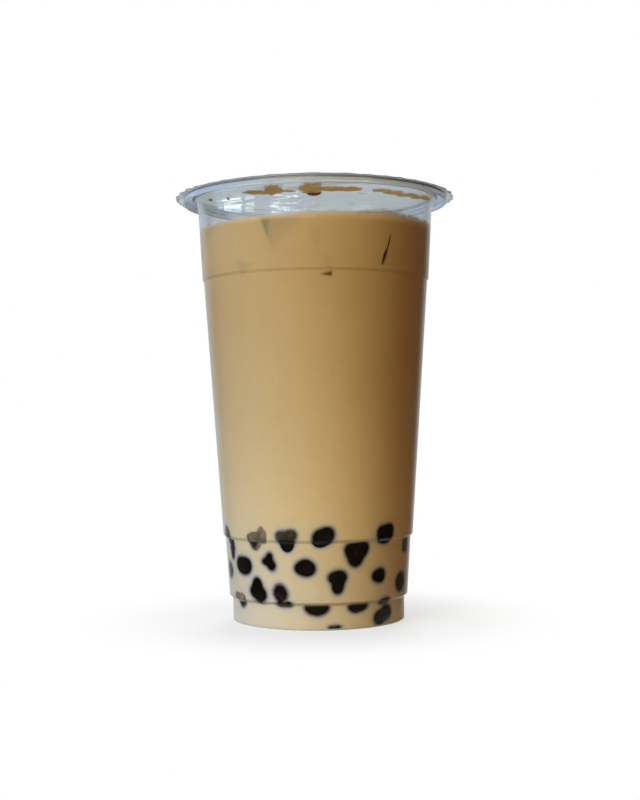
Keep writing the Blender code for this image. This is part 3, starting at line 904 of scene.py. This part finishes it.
def make_tea(tea, pearls, cup):
    """The drink turned from a profile that runs just inside the wall's own thickness: out from the middle of
    its surface to the edge where it climbs the wall, down the wall and in across the floor. Its surface is
    raised by soft foam swells, cosines of the distance and the turn. Its edge falls as edge_fall says, with
    a seeded unevenness. Its rows lie close where pearls and ice mark it."""
    depth = mm(cup.wall) - mm(tea.reach)
    level = mm(tea.level)
    edge = wall_radius(level, depth)
    foot = OUTER_FACE[0][0]
    low, floor = CHANNEL_HEIGHT - mm(tea.reach), FLOOR_TOP - mm(tea.reach)
    pearls_below = mm(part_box("pearl_bed")[1].z) + 2
    wall = [c for c in moved_in(WALL_CORNERS, depth) if c[1] < level]
    wall += [(wall_radius(z, depth), z, 0) for z in (pearls_below, ICE_ABOVE)]
    wall.sort(key=lambda corner: corner[1])
    corners = [
        (0, level - 0.3, 0), (edge - 3.0, level - 0.3, 3.0), (edge, level - 0.1, 0.1), *wall[::-1],
        (wall[0][0], low, 0.5), (foot + 1.1, low, 0.3), (foot + 0.1, floor, 0.3), (0, floor, 0),
    ]

    def step(point):
        if point[0] < INSIDE_WALL:
            return 2.2
        return 3.0 if pearls_below < point[1] < ICE_ABOVE else 0.5

    rings, poles = turned(spaced(fillet(corners), step), TEA_COLUMNS)
    distance = np.hypot(rings[..., 0], rings[..., 1])
    turn = np.arctan2(rings[..., 1], rings[..., 0])
    uneven = harmonics(round_turns(TEA_COLUMNS), 17, 6, 60)
    at_edge = np.clip((rings[..., 2] - level + 2.5) / 2.7, 0, 1) * (distance > edge - 2.5)
    swell = 0.16 * np.cos(distance * 0.5 + 2 * np.sin(turn * 3)) + 0.08 * np.cos(distance * 1.3 + turn * 7)
    on_top = (rings[..., 2] > level - 1) * np.clip((edge - 2.5 - distance) / 4, 0, 1)
    rings[..., 2] += swell * on_top + (0.12 * uneven - edge_fall(turn)) * at_edge
    mesh = closed_mesh("milk_tea_drink", rings, poles)
    points = rings.reshape(-1, 3)
    gap, halo = patch_marks(points, pearl_table(pearls), mm(tea.spread), cup)
    for name, values in (("pearl_gap", gap), ("halo", halo), ("ice", ice_shade_marks(points, cup))):
        per_point(mesh, name, values, np.full((1, 2), float(name != "ice")))
    add_piece("milk_tea_drink", mesh, tea_finish(tea), "milk_tea", "milk_tea")


def make_ice(tea, cup):
    """Each edge of ice is a thin lens against the wall: over the polar angle p and the direction q, it
    reaches its half length times sin p cos q along its lean and its half width times sin p sin q across it.
    It lies flat on the wall, and behind that 2 mm times -cos p deep."""
    table = np.array([(math.radians(row[0] - 90), *row[1:]) for row in ICE_EDGES])
    polar, turns = blob_angles(*ICE_GRID)
    long = table[:, 2, None, None] * np.sin(polar) * np.cos(turns)
    wide = table[:, 3, None, None] * np.sin(polar) * np.sin(turns)
    lean = np.radians(table[:, 4])[:, None, None]
    across, up = long * np.cos(lean) - wide * np.sin(lean), long * np.sin(lean) + wide * np.cos(lean)
    rings = on_wall(table, across, up, np.maximum(-2 * np.cos(polar), 0) + 0 * across, 0, tea, cup)
    ends = np.array((0.0, 2.0))[None, :, None] + 0 * lean
    poles = on_wall(table, 0 * ends, 0 * ends, ends, 0, tea, cup)[:, :, 0]
    mesh = closed_mesh("ice_edges", rings, poles)
    add_piece("ice_edges", mesh, ice_edge_shade_finish(), "milk_tea")


def make_foam(tea, cup):
    """A thin milky skin on the wall above the drink: a closed band whose top edge follows seeded harmonics
    and whose body fades from its foot to its top."""
    turn = round_turns(FOAM_COLUMNS)
    from_front = np.degrees((turn + math.pi / 2 + math.pi) % math.tau - math.pi)
    more = np.clip((from_front + 15) / 45, 0.15, 1) * np.clip((200 - from_front) / 60, 0, 1)
    tall = 0.7 + 1.7 * more * (1 + 0.2 * harmonics(turn, 21, 5, 30)) + 0.1 * harmonics(turn, 22, 30, 90)
    share = np.linspace(0, 1, 9)[:, None]
    height = mm(tea.level) - 0.5 - edge_fall(turn) + share * np.clip(tall, 0.3, 4.0)
    outer = wall_radius(height, mm(cup.wall)) + 0.05
    inner = outer - 0.11 - 0.30 * (1 - share) ** 0.5
    face, back = (round_axis(radius, turn, height) for radius in (outer, inner))
    mesh = ring_mesh("foam_on_wall", np.concatenate([face, back[::-1]]).transpose(1, 0, 2))
    faded = np.concatenate([1 - share ** 2, (1 - share ** 2)[::-1]]) + 0 * turn
    per_point(mesh, "body", faded.T * 0.95)
    add_piece("foam_on_wall", mesh, foam_finish(), "milk_tea")


def make_bubbles(tea, cup):
    """Half bubbles along the wall at the drink's edge and a few on its surface: shells between two balls,
    whose points run over the outer ball from its top to its foot and back up the inner one."""
    draw = np.random.default_rng(31)
    rows, columns = BUBBLE_GRID
    polar = np.linspace(0, math.pi / 2, rows + 1)[1:, None]
    turns = round_turns(columns)
    level = mm(tea.level)
    rings, poles = [], []
    for k in range(BUBBLES):
        radius = draw.uniform(0.4, 1.0)
        from_front = draw.uniform(-5, 70) if k < BUBBLES_IN_FRONT else draw.uniform(100, 260)
        facing = math.radians(from_front - 90)
        if k < BUBBLES_AT_WALL:
            away = wall_radius(level + 2, mm(cup.wall)) - radius - draw.uniform(0.1, 0.5)
        else:
            away = draw.uniform(4, 36)
        lift = draw.uniform(0.1, 2.6) if k < BUBBLES_LIFTED else 0.1
        middle = np.array((away * math.cos(facing), away * math.sin(facing), level + lift))
        shell = [
            round_axis(size * np.sin(angle), turns, size * np.cos(angle)) + middle
            for size, angle in ((radius, polar), (radius - BUBBLE_SKIN, polar[::-1]))]
        rings.append(np.concatenate(shell))
        poles.append([middle + (0, 0, radius), middle + (0, 0, radius - BUBBLE_SKIN)])
    mesh = closed_mesh("bubbles", np.array(rings), np.array(poles))
    add_piece("bubbles", mesh, bubble_finish(), "clear_film")


def make_splashes(cup):
    """Flat uneven drops under the film, whose thickness falls as the square root of one less the squared way
    out, and a thin seep in the seal: a tube along the lip's inner corner that narrows with the root of the
    sine of its way along. Each point keeps how dark its drop is and, in a pale one, how far inwards it lies
    from the edge."""
    rows, columns = SPLASH_GRID
    turns = round_turns(columns)
    out = np.sin(np.linspace(0, math.pi / 2, rows // 2 + 1))[1:, None]
    share = np.concatenate([out, out[::-1][1:]])
    seat, into_film = film_seat(cup), 0.06
    rings, poles, darks = [], [], []
    for k, (x, y, wide, deep, thick) in enumerate(FILM_SPLASHES):
        uneven = 1 + 0.10 * harmonics(turns, 40 + k, 2, 6) + 0.05 * harmonics(turns, 80 + k, 7, 16)
        flat_x = x + share * wide * uneven * np.cos(turns)
        flat_y = y + share * deep * uneven * np.sin(turns)
        under = seat + film_rise(np.hypot(flat_x, flat_y), np.arctan2(flat_y, flat_x))
        hang = np.concatenate([0 * out - into_film, thick * np.sqrt(1 - out[::-1][1:] ** 2)])
        rings.append(np.stack([flat_x, flat_y, under - hang], -1))
        middle = seat + float(film_rise(np.hypot([x], [y]), np.arctan2([y], [x]))[0])
        poles.append([(x, y, middle + into_film), (x, y, middle - thick)])
        darks.append(float(thick > 1))
    ends = len(share) + 2
    along = np.radians(np.linspace(*SEEP, ends) - 90)[:, None]
    size = 0.28 * np.sin(np.linspace(0, math.pi, ends))[:, None] ** 0.5
    distance = NECK_RADIUS - mm(cup.wall) - 0.1 + size * np.cos(turns)
    tube = round_axis(distance, along, mm(cup.lip_top) - 0.35 + size * np.sin(turns))
    rings.append(tube[1:-1])
    poles.append([tube[0].mean(axis=0), tube[-1].mean(axis=0)])
    darks.append(1.0)
    rings, poles, darks = np.array(rings), np.array(poles), np.array(darks)
    mesh = closed_mesh("splashes_on_film", rings, poles)
    at_points, at_poles = np.zeros(rings.shape[:3]), np.zeros(poles.shape[:2])
    per_point(mesh, "thick", darks[:, None, None] + at_points, darks[:, None] + at_poles)
    outwards = np.where(darks > 0, 0.0, 1.0)[:, None, None] * share
    per_point(mesh, "inwards", 1 - outwards + at_points, 1 + at_poles)
    add_piece("splashes_on_film", mesh, splash_finish(), "milk_tea")


# Stage

def make_floor():
    """A pale round floor: rings about the axis, 2 mm thick. Away from the cup it turns into the same white as
    the backdrop, and reflections look through it, so that no horizon shows in the wall."""
    radius = np.array([0.02, 0.05, 0.1, 0.2, 0.4, 0.8, 1.6, 3.0])[:, None] / MM
    face = round_axis(radius, round_turns(96), 0.0)
    thick = np.array((0, 0, 2.0))
    mesh = closed_mesh("floor", np.concatenate([face, face[-1:] - thick]), np.array([0 * thick, -thick]))
    mesh.shade_flat()
    finish = Finish("pale_floor")
    grain = finish.mixed(finish.patches(60, 3, 0.3, 0.7), (0.86, 0.86, 0.86), (0.88, 0.88, 0.88))
    finish.set(Base_Color=grain, Roughness=0.9, Specular_IOR_Level=0.1)
    white = finish.add("ShaderNodeEmission", {"Color": (1, 1, 1), "Strength": 1.0}).outputs[0]
    clear = finish.add("ShaderNodeBsdfTransparent").outputs[0]
    seen = finish.add("ShaderNodeLightPath").outputs["Is Camera Ray"]
    beyond = finish.add("ShaderNodeMixShader", {0: seen, 1: clear, 2: white}).outputs[0]
    finish.shows(finish.ranged(finish.from_axis(), 0.025, 0.09, 0.6, 1.0), finish.shader.outputs[0], beyond)
    floor = bpy.data.objects.new("floor", mesh)
    bpy.context.scene.collection.objects.link(floor)
    mesh.materials.append(finish.material)


def make_world(surroundings):
    """White behind the cup. What the plastic shows and reflects is a grey-blue room, whose parts are added
    up: a glow fades with the angle from where it lies, and a pane of the window ends at its sides in X and Z
    over Y."""
    world = bpy.data.worlds.new("room")
    bpy.context.scene.world = world
    world.use_nodes = True
    world.cycles.sampling_method = "NONE"
    room = Nodes(world.node_tree)
    direction = room.add("ShaderNodeTexCoord").outputs["Generated"]
    parts = room.add("ShaderNodeSeparateXYZ", {0: direction}).outputs
    ahead = room.maths("MAXIMUM", parts["Y"], 0.01)
    sideways = room.maths("DIVIDE", parts["X"], ahead)
    upwards = room.maths("DIVIDE", parts["Z"], ahead)

    def scaled(colour, share):
        inputs = {0: colour, "Scale": share}
        return room.add("ShaderNodeVectorMath", inputs, operation="SCALE").outputs["Vector"]

    def glow(towards, inner, outer, colour):
        dot = room.vectors("DOT_PRODUCT", direction, Vector(towards).normalized(), result="Value")
        return scaled(colour, room.ranged(dot, math.cos(math.radians(outer)), math.cos(math.radians(inner))))

    def pane(left, right, low, high, colour):
        inside = []
        for value, start, end in ((sideways, left, right), (upwards, low, high)):
            away = room.maths("ABSOLUTE", room.maths("SUBTRACT", value, (start + end) / 2))
            inside.append(room.ranged(away, (end - start) / 2 + PANE_EDGE, (end - start) / 2))
        return scaled(colour, room.maths("MULTIPLY", *inside))

    light = room.vectors("ADD", glow(*MAIN_GLOW, surroundings), ROOM_BASE)
    for part in [glow(*row) for row in ROOM_GLOWS] + [pane(*row) for row in WINDOW_PANES]:
        light = room.vectors("ADD", light, part)
    seen = room.add("ShaderNodeLightPath").outputs["Is Camera Ray"]
    room.feed(room.tree.nodes["Background"].inputs["Color"], room.mixed(seen, light, (1, 1, 1)))


def make_lights():
    """Soft rectangular lamps that face their targets. Rays that meet the clear wall never reach a lamp, so it
    isn't left to them in part: its own samples count in full."""
    for name, place, target, size, power, colour in LAMPS:
        light = bpy.data.lights.new(name, "AREA")
        light.shape = "RECTANGLE"
        light.size, light.size_y = size
        light.energy = power
        light.color = colour
        light.cycles.use_multiple_importance_sampling = False
        lamp = bpy.data.objects.new(name, light)
        bpy.context.scene.collection.objects.link(lamp)
        lamp.location = place
        lamp.rotation_euler = (Vector(target) - Vector(place)).to_track_quat("-Z", "Y").to_euler()
        lamp.visible_glossy = False
        lamp.visible_transmission = False
        lamp.visible_camera = False


def make_camera(stage):
    """The camera in front of the cup, level apart from its roll, with the picture shifted as in the frame."""
    camera = bpy.data.cameras.new("camera")
    camera.lens = stage.lens
    camera.sensor_width = 36.0
    camera.sensor_fit = "AUTO"
    camera.shift_x, camera.shift_y = (pixels / FRAME_PIXELS for pixels in SHIFT_PIXELS)
    camera.clip_start = 0.01
    camera.clip_end = 20
    holder = bpy.data.objects.new("camera", camera)
    bpy.context.scene.collection.objects.link(holder)
    holder.location = (0, -stage.distance, stage.height)
    holder.rotation_euler = (math.pi / 2, stage.roll, 0)
    bpy.context.scene.camera = holder


# Operators

class BUBBLETEA_OT_cup(Operator):
    """Make the clear stepped cup with its rolled lip"""
    bl_idname = "bubbletea.cup"
    bl_label = "Clear Cup"

    def execute(self, context):
        make_cup(context.scene.bubbletea_cup, context.scene.bubbletea_tea)
        return {"FINISHED"}


class BUBBLETEA_OT_film(Operator):
    """Seal the cup with crinkled clear film"""
    bl_idname = "bubbletea.film"
    bl_label = "Sealing Film"

    def execute(self, context):
        make_film(context.scene.bubbletea_film, context.scene.bubbletea_cup)
        return {"FINISHED"}


class BUBBLETEA_OT_tea(Operator):
    """Pour the milk tea"""
    bl_idname = "bubbletea.tea"
    bl_label = "Milk Tea"

    def execute(self, context):
        scene = context.scene
        make_tea(scene.bubbletea_tea, scene.bubbletea_pearls, scene.bubbletea_cup)
        return {"FINISHED"}


class BUBBLETEA_OT_pearls(Operator):
    """Lay the tapioca pearls at the wall and on the floor"""
    bl_idname = "bubbletea.pearls"
    bl_label = "Tapioca Pearls"

    def execute(self, context):
        scene = context.scene
        make_pearls(scene.bubbletea_pearls, scene.bubbletea_tea, scene.bubbletea_cup)
        return {"FINISHED"}


class BUBBLETEA_OT_ice(Operator):
    """Float the ice whose corners touch the wall"""
    bl_idname = "bubbletea.ice"
    bl_label = "Ice"

    def execute(self, context):
        make_ice(context.scene.bubbletea_tea, context.scene.bubbletea_cup)
        return {"FINISHED"}


class BUBBLETEA_OT_foam(Operator):
    """Add the foam on the wall, the bubbles and the splashes under the film"""
    bl_idname = "bubbletea.foam"
    bl_label = "Foam and Splashes"

    def execute(self, context):
        scene = context.scene
        make_foam(scene.bubbletea_tea, scene.bubbletea_cup)
        make_bubbles(scene.bubbletea_tea, scene.bubbletea_cup)
        make_splashes(scene.bubbletea_cup)
        return {"FINISHED"}


class BUBBLETEA_OT_stage(Operator):
    """Set the floor, the room, the lights and the camera"""
    bl_idname = "bubbletea.stage"
    bl_label = "Stage"

    def execute(self, context):
        make_floor()
        make_world(context.scene.bubbletea_stage.surroundings)
        make_lights()
        make_camera(context.scene.bubbletea_stage)
        context.scene.view_settings.view_transform = "Standard"
        return {"FINISHED"}


class BUBBLETEA_PT_sidebar(Panel):
    """Lists the settings and the steps"""
    bl_idname = "BUBBLETEA_PT_sidebar"
    bl_label = "Bubble Tea"
    bl_space_type = "VIEW_3D"
    bl_region_type = "UI"
    bl_category = "Bubble Tea"

    def draw(self, context):
        for group, _, operators in STEPS:
            box = self.layout.box()
            settings = getattr(context.scene, group)
            for name in settings.__annotations__:
                box.prop(settings, name)
            for operator in operators:
                box.operator(operator.bl_idname)


STEPS = (
    ("bubbletea_cup", CupSettings, (BUBBLETEA_OT_cup,)),
    ("bubbletea_film", FilmSettings, (BUBBLETEA_OT_film,)),
    ("bubbletea_tea", TeaSettings, (BUBBLETEA_OT_tea, BUBBLETEA_OT_ice, BUBBLETEA_OT_foam)),
    ("bubbletea_pearls", PearlSettings, (BUBBLETEA_OT_pearls,)),
    ("bubbletea_stage", StageSettings, (BUBBLETEA_OT_stage,)),
)
CLASSES = [made for _, group, operators in STEPS for made in (group, *operators)] + [BUBBLETEA_PT_sidebar]


def register():
    for made in CLASSES:
        bpy.utils.register_class(made)
    for name, group, _ in STEPS:
        setattr(bpy.types.Scene, name, PointerProperty(type=group))


def unregister():
    for name, _, _ in STEPS:
        delattr(bpy.types.Scene, name)
    for made in reversed(CLASSES):
        bpy.utils.unregister_class(made)


def main():
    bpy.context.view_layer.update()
    register()
    bpy.ops.bubbletea.cup()
    bpy.ops.bubbletea.film()
    bpy.ops.bubbletea.tea()
    bpy.ops.bubbletea.pearls()
    bpy.ops.bubbletea.ice()
    bpy.ops.bubbletea.foam()
    bpy.ops.bubbletea.stage()


if __name__ == "__main__":
    main()
